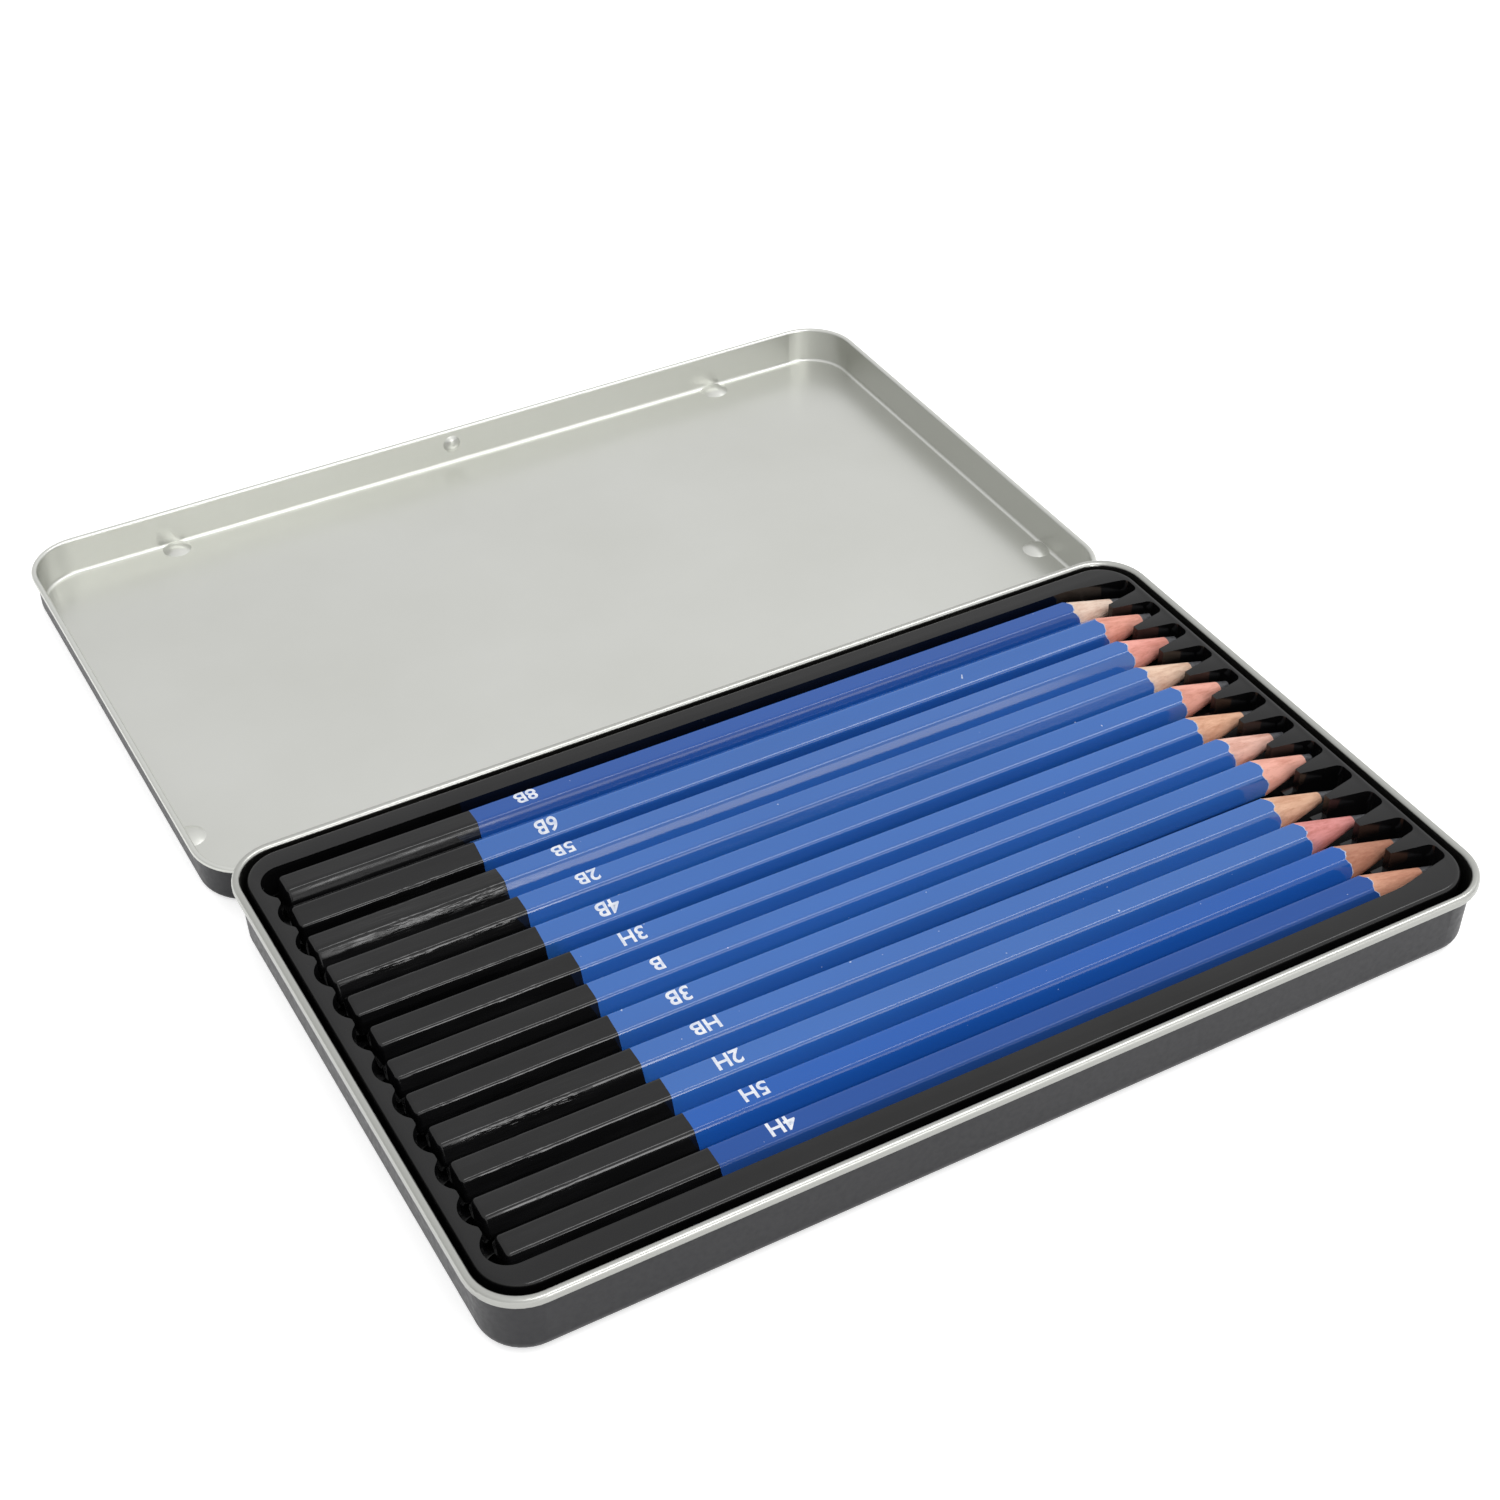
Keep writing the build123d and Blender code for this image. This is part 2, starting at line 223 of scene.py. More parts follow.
def rayKinds(tree):
    rays = addNode(tree, "ShaderNodeLightPath")
    return [Wire(tree, rays.outputs[name]) for name in ("Is Camera Ray", "Is Glossy Ray", "Is Transmission Ray")]


def buildCamera(scene):
    lens = bpy.data.cameras.new("photoCamera")
    lens.lens = studio["lens"]
    lens.sensor_width = studio["sensorWidth"]
    lens.clip_start = studio["clipStart"]
    camera = addObject("photoCamera", lens)
    camera.location = studio["cameraPlace"]
    aim = Vector(studio["cameraAim"]) - camera.location
    turn = aim.to_track_quat("-Z", "Y").to_matrix() @ Matrix.Rotation(studio["cameraRoll"], 3, "Z")
    camera.rotation_euler = turn.to_euler()
    scene.camera = camera


def buildLamp(name, place, size, power):
    light = bpy.data.lights.new(name, "AREA")
    light.shape = "RECTANGLE"
    light.size, light.size_y = size
    light.energy = power
    lamp = addObject(name, light)
    lamp.location = place
    lamp.rotation_euler = (Vector(studio["lampAim"]) - Vector(place)).to_track_quat("-Z", "Y").to_euler()


def buildSky(scene):
    world = bpy.data.worlds.new("studioWorld")
    scene.world = world
    world.use_nodes = True
    tree = world.node_tree
    tree.nodes.clear()
    coords = addNode(tree, "ShaderNodeTexCoord")
    direction = Wire(tree, coords.outputs["Generated"])
    along = vectorMath(tree, "DOT_PRODUCT", direction, studio["mirrorAxis"])
    mirrored = ramp(tree, along, *studio["mirrorSpan"], *studio["mirrorLevels"])
    parts = addNode(tree, "ShaderNodeSeparateXYZ", {}, {0: direction})
    low = ramp(tree, Wire(tree, parts.outputs["Z"]), *studio["frontWallTop"], 1.0, 0.0)
    inFront = ramp(tree, Wire(tree, parts.outputs["Y"]), *studio["frontWallSide"], 1.0, 0.0)
    mirrored = mixValue(tree, low * inFront, mirrored, studio["frontWallLevel"])
    height = vectorMath(tree, "DOT_PRODUCT", direction, studio["softAxis"])
    soft = ramp(tree, height, *studio["softSpan"], *studio["softLevels"])
    seen, glossy, through = rayKinds(tree)
    level = mixValue(tree, glossy, soft, mirrored)
    level = mixValue(tree, seen.math("MAXIMUM", through), level, 1.0)
    sky = addNode(tree, "ShaderNodeBackground", {}, {"Strength": level})
    sky.inputs["Color"].default_value = (1, 1, 1, 1)
    out = addNode(tree, "ShaderNodeOutputWorld")
    tree.links.new(sky.outputs[0], out.inputs[0])


def buildFloor():
    mesh = bpy.data.meshes.new("studioFloor")
    reach = studio["floorReach"]
    corners = [(-reach, -reach, 0), (reach, -reach, 0), (reach, reach, 0), (-reach, reach, 0)]
    mesh.from_pydata(corners, [], [(0, 1, 2, 3)])
    floor = addObject("studioFloor", mesh)
    floor.location.z = -studio["floorDrop"]
    material, tree, shader, place = startMaterial("paleFloor")
    shader.inputs["Roughness"].default_value = studio["floorRoughness"]
    shader.inputs["Specular IOR Level"].default_value = studio["floorGloss"]
    grain = noiseWire(tree, place, studio["floorGrain"])
    tones = [(tone, tone, tone, 1) for tone in studio["floorTones"]]
    plug(tree, mixColour(tree, grain, *tones), shader.inputs["Base Color"])
    glow = addNode(tree, "ShaderNodeEmission", {}, {"Strength": studio["floorGlow"]})
    seen, glossy, through = rayKinds(tree)
    matt = Wire(tree, shader.outputs[0])
    glowing = addNode(tree, "ShaderNodeAddShader", {}, {0: matt, 1: Wire(tree, glow.outputs[0])})
    mixed = addNode(tree, "ShaderNodeMixShader", {}, {
        0: seen.math("MAXIMUM", glossy).math("MAXIMUM", through), 1: matt, 2: Wire(tree, glowing.outputs[0])})
    tree.links.new(mixed.outputs[0], tree.nodes["Material Output"].inputs[0])
    giveMaterial(floor, material)


def buildStudio():
    scene = bpy.context.scene
    scene.view_settings.view_transform = "Standard"
    buildCamera(scene)
    for name, (place, size, power) in studio["lamps"].items():
        buildLamp(name, place, size, power)
    buildSky(scene)
    buildFloor()


buildStudio()
print("studio built")


# Tinplate: charcoal lacquer outside, bare satin metal inside and on the rolled edges
tinplate = {
    "lacquer": ("242427", "2c2c2f"),
    "lacquerRoughness": (0.36, 0.48),
    "lacquerGloss": 0.3,
    "metal": ("ecede8", "e6e7e1"),
    "metalRoughness": (0.28, 0.33),
    "metalGloss": 0.5,
    "paintedWallShade": 0.66,           # painted shade: metal on upright walls is darkened against the level floor
    "wallToFloor": (0.25, 0.9),  # how level a face is
    "speckle": {"scale": 900.0, "detail": 2.0},
    "cloud": {"scale": 22.0, "detail": 4.0},
    "brushed": {"scale": 160.0, "detail": 3.0, "roughness": 0.6, "stretch": (1, 9, 9)},
    "bump": (0.02 * mm, 0.25),
}
tins = {                         # the roll is bare metal from the top edge down
    # painted shade: the base's bare metal is the lid's tinplate darkened, so its rim looks greyer
    "base": {"cornerRadius": 9.6 * mm, "rollHeight": 2.2 * mm, "paintedMetalShade": 0.72},
    "lid": {"cornerRadius": 11.05 * mm, "rollHeight": 1.2 * mm, "paintedMetalShade": 1.0},
}


def tinMaterial(name, node, cornerRadius, rollHeight, paintedMetalShade):
    low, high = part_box(node)
    centre = (low + high) / 2
    half = (high - low) / 2
    up = (0, 0, 1)
    material, tree, shader, place = startMaterial(name)
    centred = vectorMath(tree, "SUBTRACT", place, tuple(centre))
    core = (half.x - cornerRadius, half.y - cornerRadius, 0)
    held = vectorMath(tree, "MINIMUM", centred, core)
    held = vectorMath(tree, "MAXIMUM", held, tuple(-c for c in core))
    flat = vectorMath(tree, "MULTIPLY", centred, (1, 1, 0))
    outward = vectorMath(tree, "NORMALIZE", vectorMath(tree, "SUBTRACT", flat, held))
    surface = addNode(tree, "ShaderNodeNewGeometry")
    turned = addNode(
        tree, "ShaderNodeVectorTransform", {"vector_type": "NORMAL", "convert_from": "WORLD", "convert_to": "OBJECT"},
        {"Vector": Wire(tree, surface.outputs["True Normal"])})
    normal = Wire(tree, turned.outputs[0])      # in the lid's own frame, so the paint turns with the lid
    upright = vectorMath(tree, "DOT_PRODUCT", normal, up)
    facesOut = vectorMath(tree, "DOT_PRODUCT", normal, outward) - upright
    height = addNode(tree, "ShaderNodeSeparateXYZ", {}, {0: place})
    belowRoll = Wire(tree, height.outputs["Z"]).below(high.z - rollHeight)
    lacquered = facesOut.above(0.0) * belowRoll

    speckle, cloud, brushed = (noiseWire(tree, place, **tinplate[key]) for key in ("speckle", "cloud", "brushed"))
    # painted shade: the metal tones are darkened by this factor for the base tin
    bright, dull = (shaded(rgb(tone), paintedMetalShade) for tone in tinplate["metal"])
    metal = mixColour(tree, ramp(tree, cloud, 0.3, 0.7), bright, dull)
    # painted shade: the metal darkens as a face turns from level to upright
    level = ramp(tree, upright.math("ABSOLUTE"), *tinplate["wallToFloor"])
    metal = mixColour(tree, level, shaded(dull, tinplate["paintedWallShade"]), metal)
    paint = mixColour(tree, ramp(tree, cloud, 0.35, 0.75), *map(rgb, tinplate["lacquer"]))
    plug(tree, mixColour(tree, lacquered, metal, paint), shader.inputs["Base Color"])
    plug(tree, mixValue(tree, lacquered, 1.0, 0.0), shader.inputs["Metallic"])
    metalRough = ramp(tree, brushed, 0.2, 0.8, *tinplate["metalRoughness"])
    paintRough = ramp(tree, speckle, 0.3, 0.7, *tinplate["lacquerRoughness"])
    plug(tree, mixValue(tree, lacquered, metalRough, paintRough), shader.inputs["Roughness"])
    gloss = mixValue(tree, lacquered, tinplate["metalGloss"], tinplate["lacquerGloss"])
    plug(tree, gloss, shader.inputs["Specular IOR Level"])
    bumpInto(tree, shader, speckle, *tinplate["bump"])
    return material


for tin, looks in tins.items():
    giveMaterial(nodes[tin + "_tin"], tinMaterial(tin + "Tinplate", tin + "_tin", **looks))
print("tins dressed")


# Tray: the formed skin with softly rounded edges
tray = {
    "edgeRound": 0.5 * mm,
    "edgeSteps": 4,
    "edgeAngle": math.radians(35),
    "sharpAngle": math.radians(40),
    "mergeDistance": 1e-6,
    "flatAngle": math.radians(1.0),
    "colours": ("0b0b0c", "151516"),
    "roughness": (0.13, 0.2),
    "cloud": {"scale": 60.0, "detail": 5.0},
    "fine": {"scale": 1400.0, "detail": 2.0},
    "bump": (0.01 * mm, 0.2),
}


def plasticMaterial():
    material, tree, shader, place = startMaterial("blackFormedPlastic")
    cloud = noiseWire(tree, place, **tray["cloud"])
    fine = noiseWire(tree, place, **tray["fine"])
    colour = mixColour(tree, ramp(tree, cloud, 0.45, 0.8), *map(rgb, tray["colours"]))
    plug(tree, colour, shader.inputs["Base Color"])
    plug(tree, ramp(tree, cloud, 0.3, 0.8, *tray["roughness"]), shader.inputs["Roughness"])
    bumpInto(tree, shader, fine, *tray["bump"])
    return material


def copyOfNode(name, node):
    piece = addObject(name, nodes[node].data.copy())
    work = bmesh.new()
    work.from_mesh(piece.data)
    bmesh.ops.remove_doubles(work, verts=work.verts, dist=tray["mergeDistance"])
    bmesh.ops.dissolve_limit(work, angle_limit=tray["flatAngle"], verts=work.verts, edges=work.edges)
    work.to_mesh(piece.data)
    work.free()
    return piece


def settle(piece):
    mesh = meshNow(piece)
    piece.modifiers.clear()
    piece.data = mesh


def buildTray():
    piece = copyOfNode("formedTray", "insert_tray")
    bevel = piece.modifiers.new("softEdges", "BEVEL")
    bevel.width = tray["edgeRound"]
    bevel.segments = tray["edgeSteps"]
    bevel.limit_method = "ANGLE"
    bevel.angle_limit = tray["edgeAngle"]
    bevel.use_clamp_overlap = True
    settle(piece)
    giveMaterial(piece, plasticMaterial())
    for face in piece.data.polygons:
        face.use_smooth = True
    piece.data.set_sharp_from_angle(angle=tray["sharpAngle"])
    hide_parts("insert_tray")
    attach(piece, "tray")
    print("tray faces:", len(piece.data.polygons))


buildTray()


# Pencils: one Geometry Nodes tree makes every casing
pencil = {
    "acrossFlats": 6.9 * mm,
    "rearRound": 0.8 * mm,
    "rearDome": 0.3 * mm,        # how far the middle of the rear end stands out
    "rearSkin": 0.5 * mm,
    "glueGap": 0.02 * mm,
    "dipLength": 35.2 * mm,
    "dipSlant": 0.15 * mm,
    "dipRagged": 0.12,           # share of the cut's raggedness
    "pointSlope": math.tan(math.radians(12.5)),
    "sharpAngle": math.radians(38),
    "around": 96,
    "edgeCrowding": 0.86,        # draws the points of a ring together at the six edges
    "scallop": 0.5,              # how far the cut dips at the edges, 1 for a true cone
    "cutReach": 1.045,           # where the softened scallops cross the cone, in half widths
    "cutRagged": 0.8 * mm,
    "ragPattern": {"Scale": 5.0, "Detail": 3.0, "Roughness": 0.65},
    "paintThick": 0.03 * mm,
    "paintEdge": 0.9 * mm,       # bare primer between lacquer and wood, times a noise less its floor
    "paintEdgeFloor": 0.28,
    "paintEdgeLeast": 0.04,
    "shaved": 0.12 * mm,         # how uneven the sharpener left the cone
    "shavedAcross": 1.3,
    "shavedAlong": 0.6,
    "shavedPattern": {"Scale": 4.0, "Detail": 2.0},
    "weld": 0.002 * mm,
    "markCentre": -41.0 * mm,
    "markBack": 0.5 * mm,
    "markHeight": 2.9 * mm,
    "markBold": 0.08 * mm,
    "markThick": 0.008 * mm,
    "markStand": 0.01 * mm,
    "capHeight": 0.72,           # of the font's size
}
lookNames = ("dipShift", "markShift", "edgeRadius", "gloss", "lacquer", "wood")
pencilLooks = {                  # shifts and radii in millimetres
    # painted shade: 8b, 5h and 4h get darker copies of the one blue lacquer that the other pencils share
    "8b": (0.9, 0.4, 0.9, 0.6, "1a54a8", "f6dfcd"),
    "6b": (-0.9, 0.0, 0.9, 0.85, "2c69bb", "f2ac9a"),
    "5b": (-0.1, 0.0, 1.0, 0.85, "2c69bb", "f7aea1"),
    "2b": (0.0, 0.5, 0.9, 0.85, "2c69bb", "f3d4bc"),
    "4b": (-0.9, -0.1, 0.9, 0.85, "2c69bb", "f3b2a1"),
    "3h": (1.0, 0.5, 0.9, 0.85, "2c69bb", "efbe9f"),
    "b": (0.5, 1.1, 0.9, 0.85, "2c69bb", "f5c6b6"),
    "3b": (0.6, 0.6, 0.9, 0.85, "2c69bb", "f8b9a8"),
    "hb": (0.1, 1.4, 0.9, 0.85, "2c69bb", "ecc0a2"),
    "2h": (1.0, 0.8, 0.9, 0.85, "2c69bb", "e59a96"),
    "5h": (1.0, 1.2, 1.1, 0.5, "1c5cb4", "c08a72"),
    "4h": (0.8, 1.3, 1.0, 0.3, "2753a0", "d9a085"),
}


def pencilTree():
    tree = bpy.data.node_groups.new("pencilCasing", "GeometryNodeTree")
    tree.interface.new_socket("Geometry", in_out="OUTPUT", socket_type="NodeSocketGeometry")
    for name in ("Across Flats", "Edge Radius", "Rear Round", "Dip Length", "Dip Slant", "Barrel Length",
                 "Wood End", "Point Slope", "Lead Radius", "Rear Skin", "Seed"):
        tree.interface.new_socket(name, in_out="INPUT", socket_type="NodeSocketFloat")
    for name in ("Dip", "Lacquer", "Primer", "Wood"):
        tree.interface.new_socket(name, in_out="INPUT", socket_type="NodeSocketMaterial")
    start = addNode(tree, "NodeGroupInput")
    size = {socket.name: Wire(tree, socket) for socket in start.outputs if socket.name}

    def noiseHere(x, y, z, pattern):
        point = addNode(tree, "ShaderNodeCombineXYZ", {}, {0: x, 1: y, 2: z})
        texture = addNode(tree, "ShaderNodeTexNoise", {}, {"Vector": Wire(tree, point.outputs[0]), **pattern})
        return Wire(tree, texture.outputs["Fac"])

    # Polar outline of a hexagon with rounded edges; the flats face 30, 90, 150 degrees and so on
    place = addNode(tree, "GeometryNodeInputPosition")
    parts = addNode(tree, "ShaderNodeSeparateXYZ", {}, {0: Wire(tree, place.outputs[0])})
    evenly = (Wire(tree, parts.outputs["X"]) + 0.5) * (2 * math.pi)
    angle = evenly - (evenly * 6.0).math("SINE") * (pencil["edgeCrowding"] / 6)
    step = Wire(tree, parts.outputs["Y"]) + 0.5
    halfSide = math.pi / 6
    fromCorner = ((angle + halfSide).math("FLOORED_MODULO", 2 * halfSide) - halfSide).math("ABSOLUTE")
    flatHalf = size["Across Flats"] * 0.5
    flatReach = flatHalf / (fromCorner * -1.0 + halfSide).math("COSINE")
    inner = flatHalf - size["Edge Radius"]
    arcCentre = inner * (1 / math.cos(halfSide))
    side = arcCentre * fromCorner.math("SINE")
    under = (size["Edge Radius"] * size["Edge Radius"] - side * side).math("MAXIMUM", 0.0).math("SQRT")
    arcReach = arcCentre * fromCorner.math("COSINE") + under
    turnStart = (inner * math.tan(halfSide) / flatHalf).math("ARCTANGENT")
    isArc = (fromCorner + turnStart).below(halfSide + 0.002)
    reach = isArc * arcReach + (isArc * -1.0 + 1.0) * flatReach

    # Where the sharpener cut through the lacquer, with a little raggedness
    noise = noiseHere(angle.math("COSINE"), angle.math("SINE"), size["Seed"], pencil["ragPattern"])
    ragged = (noise - 0.5) * pencil["cutRagged"]
    apex = size["Barrel Length"] + flatHalf / size["Point Slope"]
    crossing = flatHalf * pencil["cutReach"]
    cut = apex - (crossing + (reach - crossing) * pencil["scallop"]) / size["Point Slope"] + ragged
    paintEdge = (noise - pencil["paintEdgeFloor"]).math("MAXIMUM", pencil["paintEdgeLeast"]) * pencil["paintEdge"]
    woodStart = cut + paintEdge
    dipEnd = size["Dip Length"] + size["Dip Slant"] * angle.math("SINE") + ragged * pencil["dipRagged"]

    def band(rows, along, radius, material):
        grid = addNode(tree, "GeometryNodeMeshGrid", {}, {
            "Size X": 1.0, "Size Y": 1.0, "Vertices X": pencil["around"] + 1, "Vertices Y": rows + 1})
        point = addNode(tree, "ShaderNodeCombineXYZ", {}, {
            0: along, 1: radius * angle.math("COSINE"), 2: radius * angle.math("SINE")})
        moved = addNode(tree, "GeometryNodeSetPosition", {}, {
            "Geometry": Wire(tree, grid.outputs["Mesh"]), "Position": Wire(tree, point.outputs[0])})
        return addNode(tree, "GeometryNodeSetMaterial", {}, {
            "Geometry": Wire(tree, moved.outputs[0]), "Material": size[material]})

    def cone(along):
        return (apex - along) * size["Point Slope"]

    def woodReach(along):
        return cone(along).math("MINIMUM", reach - 2 * paint)

    paint = pencil["paintThick"]
    dome = pencil["rearDome"]
    rear = size["Rear Round"]
    lead = size["Lead Radius"]
    woodEnd = size["Wood End"]
    quarter = step * (math.pi / 2)
    fixed = step * 0.0              # turns a plain length into a wire
    woodAlong = woodStart + (woodEnd - woodStart) * step
    across = pencil["shavedAcross"]
    shaved = (noiseHere(
        angle.math("COSINE") * across, angle.math("SINE") * across, size["Seed"] + step * pencil["shavedAlong"],
        pencil["shavedPattern"]) - 0.5) * pencil["shaved"]
    fade = (step * math.pi).math("SINE")
    bands = [
        band(4, step * step * dome, (reach - rear) * step, "Dip"),
        band(7, rear - rear * quarter.math("COSINE") + dome, reach - rear + rear * quarter.math("SINE"), "Dip"),
        band(10, rear + dome + (dipEnd - rear - dome) * step, reach, "Dip"),
        band(24, dipEnd + (cut - dipEnd) * step, reach, "Lacquer"),
        band(1, cut, reach - step * paint, "Primer"),
        band(1, cut + paintEdge * step, reach - paint + (woodReach(woodStart) - reach + paint) * step, "Primer"),
        band(18, woodAlong, woodReach(woodAlong) + shaved * fade, "Wood"),
        band(1, fixed + woodEnd, cone(woodEnd) + (lead - cone(woodEnd)) * step, "Wood"),
        band(1, woodEnd + (size["Rear Skin"] - woodEnd) * step, fixed + lead, "Wood"),
        band(1, fixed + size["Rear Skin"], lead * (step * -1.0 + 1.0), "Wood"),
    ]
    join = addNode(tree, "GeometryNodeJoinGeometry")
    for item in bands:
        tree.links.new(item.outputs[0], join.inputs[0])
    weld = addNode(tree, "GeometryNodeMergeByDistance", {}, {
        "Geometry": Wire(tree, join.outputs[0]), "Distance": pencil["weld"]})
    smooth = addNode(tree, "GeometryNodeSetShadeSmooth", {}, {"Geometry": Wire(tree, weld.outputs[0])})
    whole = addNode(tree, "GeometryNodeRealizeInstances", {}, {"Geometry": Wire(tree, smooth.outputs[0])})
    end = addNode(tree, "NodeGroupOutput")
    tree.links.new(whole.outputs[0], end.inputs[0])
    return tree


# The pencils' materials. Streaks and grain run along the pencil and are turned a little from one to the next.
dip = {
    "colours": ("0c0c0d", "161617"),
    "roughness": (0.08, 0.15),
    "streak": {"scale": 420.0, "detail": 4.0, "roughness": 0.6, "stretch": (0.16, 1, 1)},
    "patch": {"scale": 60.0, "detail": 2.0},
    "everywhere": 0.15,          # share of the streaks outside the patches
    "bump": (0.4 * mm, 0.7),
}
lacquer = {
    "deeper": 0.9,
    "roughness": (0.08, 0.12),
    "cloud": {"scale": 45.0, "detail": 3.0, "stretch": (0.35, 1, 1)},
    "ripple": {"scale": 330.0, "detail": 2.0, "stretch": (0.3, 1, 1)},
    "fleck": {"scale": 950.0, "detail": 1.0},
    "fleckFrom": (0.80, 0.82),
    "fleckColour": "b9c6e2",
    "bump": (0.08 * mm, 0.4),
}
primer = {
    "colours": ("cfd3dd", "8fa2cc"),
    "roughness": 0.6,
    "chips": {"scale": 1500.0, "detail": 3.0, "roughness": 0.6},
    "bump": (0.06 * mm, 0.4),
}
wood = {
    "darker": (0.66, 0.50, 0.44),
    "roughness": 0.72,
    "gloss": 0.3,
    "grain": {"scale": 620.0, "detail": 5.0, "roughness": 0.7, "stretch": (0.09, 1, 1)},
    "pores": {"scale": 1900.0, "detail": 3.0, "roughness": 0.6, "stretch": (0.12, 1, 1)},
    "patch": {"scale": 150.0, "detail": 4.0, "roughness": 0.6, "stretch": (0.5, 1, 1)},
    "bump": (0.16 * mm, 0.7),
}
graphite = {
    "colours": ("4a4b4e", "6e6f73"),
    "roughness": (0.34, 0.5),
    "metallic": 0.3,
    "grit": {"scale": 1600.0, "detail": 4.0, "roughness": 0.7},
    "bump": (0.08 * mm, 0.6),
}
ink = {
    "colours": ("f2f4f8", "c9d4ea"),
    "roughness": 0.45,
    "wear": {"scale": 900.0, "detail": 3.0},
}


def turnFor(seed):
    return (0, 0, 0.02 * seed)


def dipMaterial(grade, seed):
    material, tree, shader, place = startMaterial("blackDip_" + grade)
    streak = noiseWire(tree, place, **dip["streak"], turn=turnFor(seed))
    patch = ramp(tree, noiseWire(tree, place, **dip["patch"]), 0.5, 0.7)
    colour = mixColour(tree, ramp(tree, streak, 0.45, 0.75), *map(rgb, dip["colours"]))
    plug(tree, colour, shader.inputs["Base Color"])
    plug(tree, ramp(tree, streak, 0.35, 0.75, *dip["roughness"]), shader.inputs["Roughness"])
    bumpInto(tree, shader, streak * (patch * (1 - dip["everywhere"]) + dip["everywhere"]), *dip["bump"])
    return material


def lacquerMaterial(grade, seed, looks):
    material, tree, shader, place = startMaterial("blueLacquer_" + grade)
    tone = rgb(looks["lacquer"])
    cloud = noiseWire(tree, place, **lacquer["cloud"], turn=turnFor(seed))
    ripple = noiseWire(tree, place, **lacquer["ripple"], turn=turnFor(seed))
    fleck = noiseWire(tree, place, **lacquer["fleck"], turn=(0, 0, seed))
    colour = mixColour(tree, ramp(tree, cloud, 0.3, 0.7), tone, shaded(tone, lacquer["deeper"]))
    colour = mixColour(tree, ramp(tree, fleck, *lacquer["fleckFrom"]), colour, rgb(lacquer["fleckColour"]))
    plug(tree, colour, shader.inputs["Base Color"])
    plug(tree, ramp(tree, cloud, 0.3, 0.8, *lacquer["roughness"]), shader.inputs["Roughness"])
    shader.inputs["Specular IOR Level"].default_value = looks["gloss"]
    bumpInto(tree, shader, ripple, *lacquer["bump"])
    return material


def primerMaterial():
    material, tree, shader, place = startMaterial("paintEdge")
    chips = noiseWire(tree, place, **primer["chips"])
    plug(tree, mixColour(tree, ramp(tree, chips, 0.4, 0.62), *map(rgb, primer["colours"])), shader.inputs["Base Color"])
    shader.inputs["Roughness"].default_value = primer["roughness"]
    bumpInto(tree, shader, chips, *primer["bump"])
    return material


def woodMaterial(grade, seed, looks):
    material, tree, shader, place = startMaterial("cedar_" + grade)
    tone = rgb(looks["wood"])
    darker = tuple(c * f for c, f in zip(tone[:3], wood["darker"])) + (1.0,)
    grain = noiseWire(tree, place, **wood["grain"], turn=turnFor(seed))
    pores = noiseWire(tree, place, **wood["pores"], turn=turnFor(seed))
    patch = noiseWire(tree, place, **wood["patch"])
    mixed = mixColour(tree, ramp(tree, grain, 0.44, 0.70, 0.0, 0.85), tone, darker)
    mixed = mixColour(tree, ramp(tree, pores, 0.55, 0.75, 0.0, 0.55), mixed, darker)
    plug(tree, mixColour(tree, ramp(tree, patch, 0.5, 0.8, 0.0, 0.4), mixed, darker), shader.inputs["Base Color"])
    shader.inputs["Roughness"].default_value = wood["roughness"]
    shader.inputs["Specular IOR Level"].default_value = wood["gloss"]
    bumpInto(tree, shader, grain + pores, *wood["bump"])
    return material


def graphiteMaterial():
    material, tree, shader, place = startMaterial("graphite")
    grit = noiseWire(tree, place, **graphite["grit"])
    plug(tree, mixColour(tree, ramp(tree, grit, 0.3, 0.7), *map(rgb, graphite["colours"])), shader.inputs["Base Color"])
    plug(tree, ramp(tree, grit, 0.3, 0.7, *graphite["roughness"]), shader.inputs["Roughness"])
    shader.inputs["Metallic"].default_value = graphite["metallic"]
    bumpInto(tree, shader, grit, *graphite["bump"])
    return material


def inkMaterial():
    material, tree, shader, place = startMaterial("whiteInk")
    wear = noiseWire(tree, place, **ink["wear"])
    plug(tree, mixColour(tree, ramp(tree, wear, 0.35, 0.7), *map(rgb, ink["colours"])), shader.inputs["Base Color"])
    shader.inputs["Roughness"].default_value = ink["roughness"]
    return material


grades = [body[len("pencil_"):] for body in frame["bodies"] if body.startswith("pencil_")]
casingTree = pencilTree()
shared = {"graphite": graphiteMaterial(), "ink": inkMaterial(), "primer": primerMaterial()}


def offAxis(point, along):
    return point - along * point.dot(along)


def axisOf(grade):
    points = [v.co for v in nodes["pencil_" + grade + "_lead"].data.vertices]
    low = min(p.x for p in points)
    high = max(p.x for p in points)
    rear = [p for p in points if p.x < low + 0.1 * mm]
    tip = [p for p in points if p.x > high - 0.05 * mm]
    start = sum(rear, Vector()) / len(rear)
    end = sum(tip, Vector()) / len(tip)
    return start, (end - start).normalized()


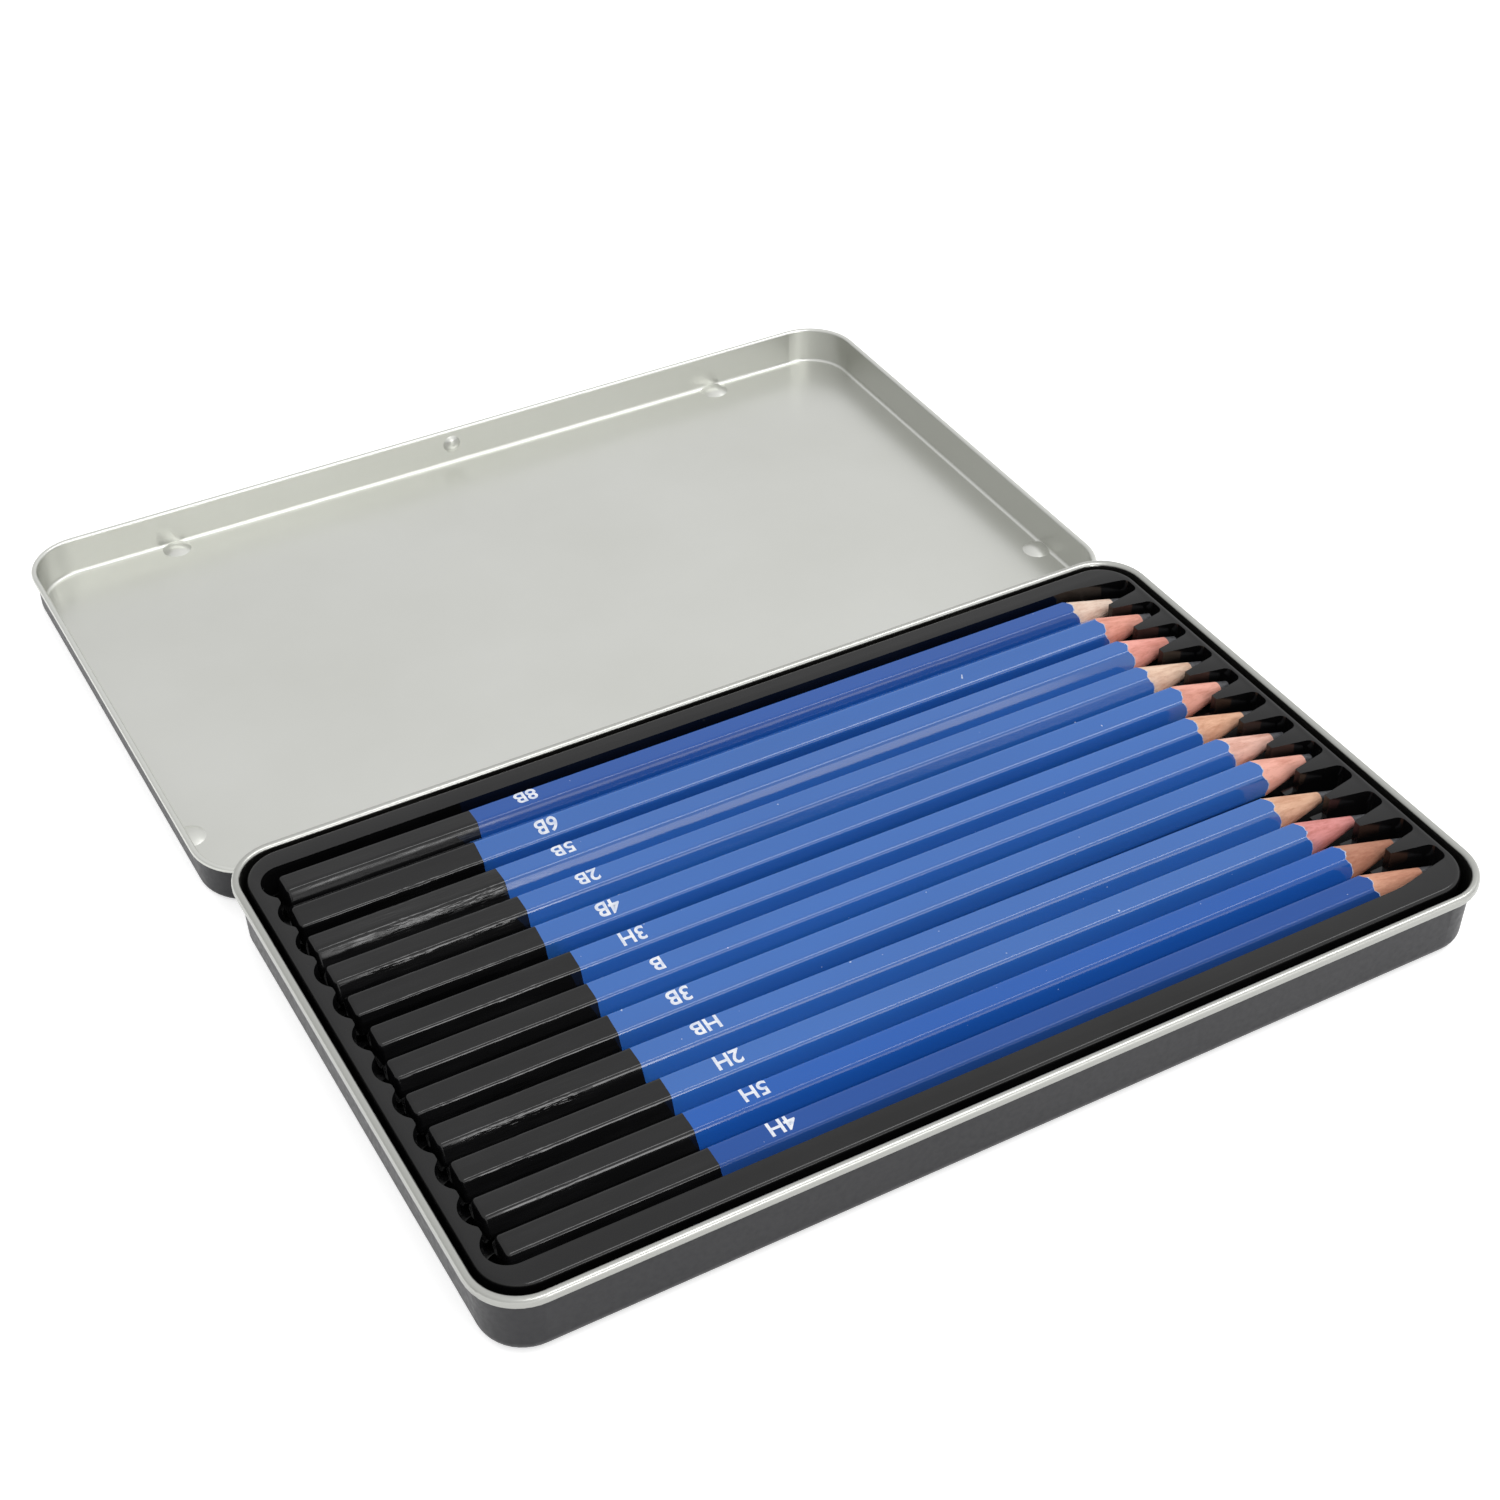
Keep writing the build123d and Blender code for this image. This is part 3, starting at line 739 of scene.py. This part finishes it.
# The casing's own frame: its rear end, its length along X and a flat upwards, as the solid lies
def frameOf(grade):
    start, along = axisOf(grade)
    rear = start - along * (pencil["rearSkin"] + pencil["glueGap"])
    casing = [v.co - rear for v in nodes["pencil_" + grade + "_casing"].data.vertices]
    lead = [v.co - rear for v in nodes["pencil_" + grade + "_lead"].data.vertices]
    rearPoints = [p for p in casing if p.dot(along) < pencil["glueGap"]]
    corner = offAxis(max(rearPoints, key=lambda p: offAxis(p, along).length), along)
    side = Vector((0, 0, 1)).cross(along).normalized()
    up = along.cross(side)
    sixth = math.pi / 3
    roll = (math.atan2(corner.dot(up), corner.dot(side)) + sixth / 2) % sixth - sixth / 2
    side, up = side * math.cos(roll) + up * math.sin(roll), up * math.cos(roll) - side * math.sin(roll)
    matrix = Matrix.Translation(rear) @ Matrix((along, side, up)).transposed().to_4x4()
    woodEnd = max(p.dot(along) for p in casing)
    leadRadius = max(offAxis(p, along).length for p in lead) + pencil["glueGap"]
    return matrix, woodEnd, leadRadius


def makePencil(grade, seed):
    looks = dict(zip(lookNames, pencilLooks[grade]))
    matrix, woodEnd, leadRadius = frameOf(grade)
    apex = woodEnd + leadRadius / pencil["pointSlope"]
    piece = addObject("casing_" + grade, bpy.data.meshes.new("casing_" + grade))
    modifier = piece.modifiers.new("casing", "NODES")
    modifier.node_group = casingTree
    values = {
        "Across Flats": pencil["acrossFlats"],
        "Edge Radius": looks["edgeRadius"] * mm,
        "Rear Round": pencil["rearRound"],
        "Dip Length": pencil["dipLength"] + looks["dipShift"] * mm,
        "Dip Slant": pencil["dipSlant"] * math.sin(seed * 2.1),
        "Barrel Length": apex - pencil["acrossFlats"] / 2 / pencil["pointSlope"],
        "Wood End": woodEnd,
        "Point Slope": pencil["pointSlope"],
        "Lead Radius": leadRadius,
        "Rear Skin": pencil["rearSkin"],
        "Seed": seed * 3.7,
        "Dip": dipMaterial(grade, seed),
        "Lacquer": lacquerMaterial(grade, seed, looks),
        "Primer": shared["primer"],
        "Wood": woodMaterial(grade, seed, looks),
    }
    for socket in casingTree.interface.items_tree:
        if socket.in_out == "INPUT":
            modifier[socket.identifier] = values[socket.name]
    settle(piece)
    piece.data.transform(matrix)
    piece.data.set_sharp_from_angle(angle=pencil["sharpAngle"])
    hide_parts("pencil_" + grade + "_casing")
    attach(piece, "pencil_" + grade)

    giveMaterial(nodes["pencil_" + grade + "_lead"], shared["graphite"])
    makeMark(grade, matrix, looks["markShift"] * mm)


def makeMark(grade, matrix, shift):
    text = bpy.data.curves.new("mark_" + grade, "FONT")
    text.body = grade.upper()
    text.align_x = "CENTER"
    text.align_y = "CENTER"
    text.size = pencil["markHeight"] / pencil["capHeight"]
    text.offset = pencil["markBold"]
    text.extrude = pencil["markThick"]
    text.resolution_u = 6
    writing = addObject("writing_" + grade, text)
    mesh = meshNow(writing)
    bpy.data.objects.remove(writing)
    piece = addObject("mark_" + grade, mesh)
    place = (
        pencil["markCentre"] + shift - matrix.translation.x, pencil["markBack"],
        pencil["acrossFlats"] / 2 + pencil["markStand"])
    mesh.transform(matrix @ Matrix.Translation(place) @ Matrix.Rotation(math.pi, 4, "Z"))
    giveMaterial(piece, shared["ink"])
    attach(piece, "pencil_" + grade)


for number, grade in enumerate(grades):
    makePencil(grade, number + 1)
print("pencils made:", len(grades))
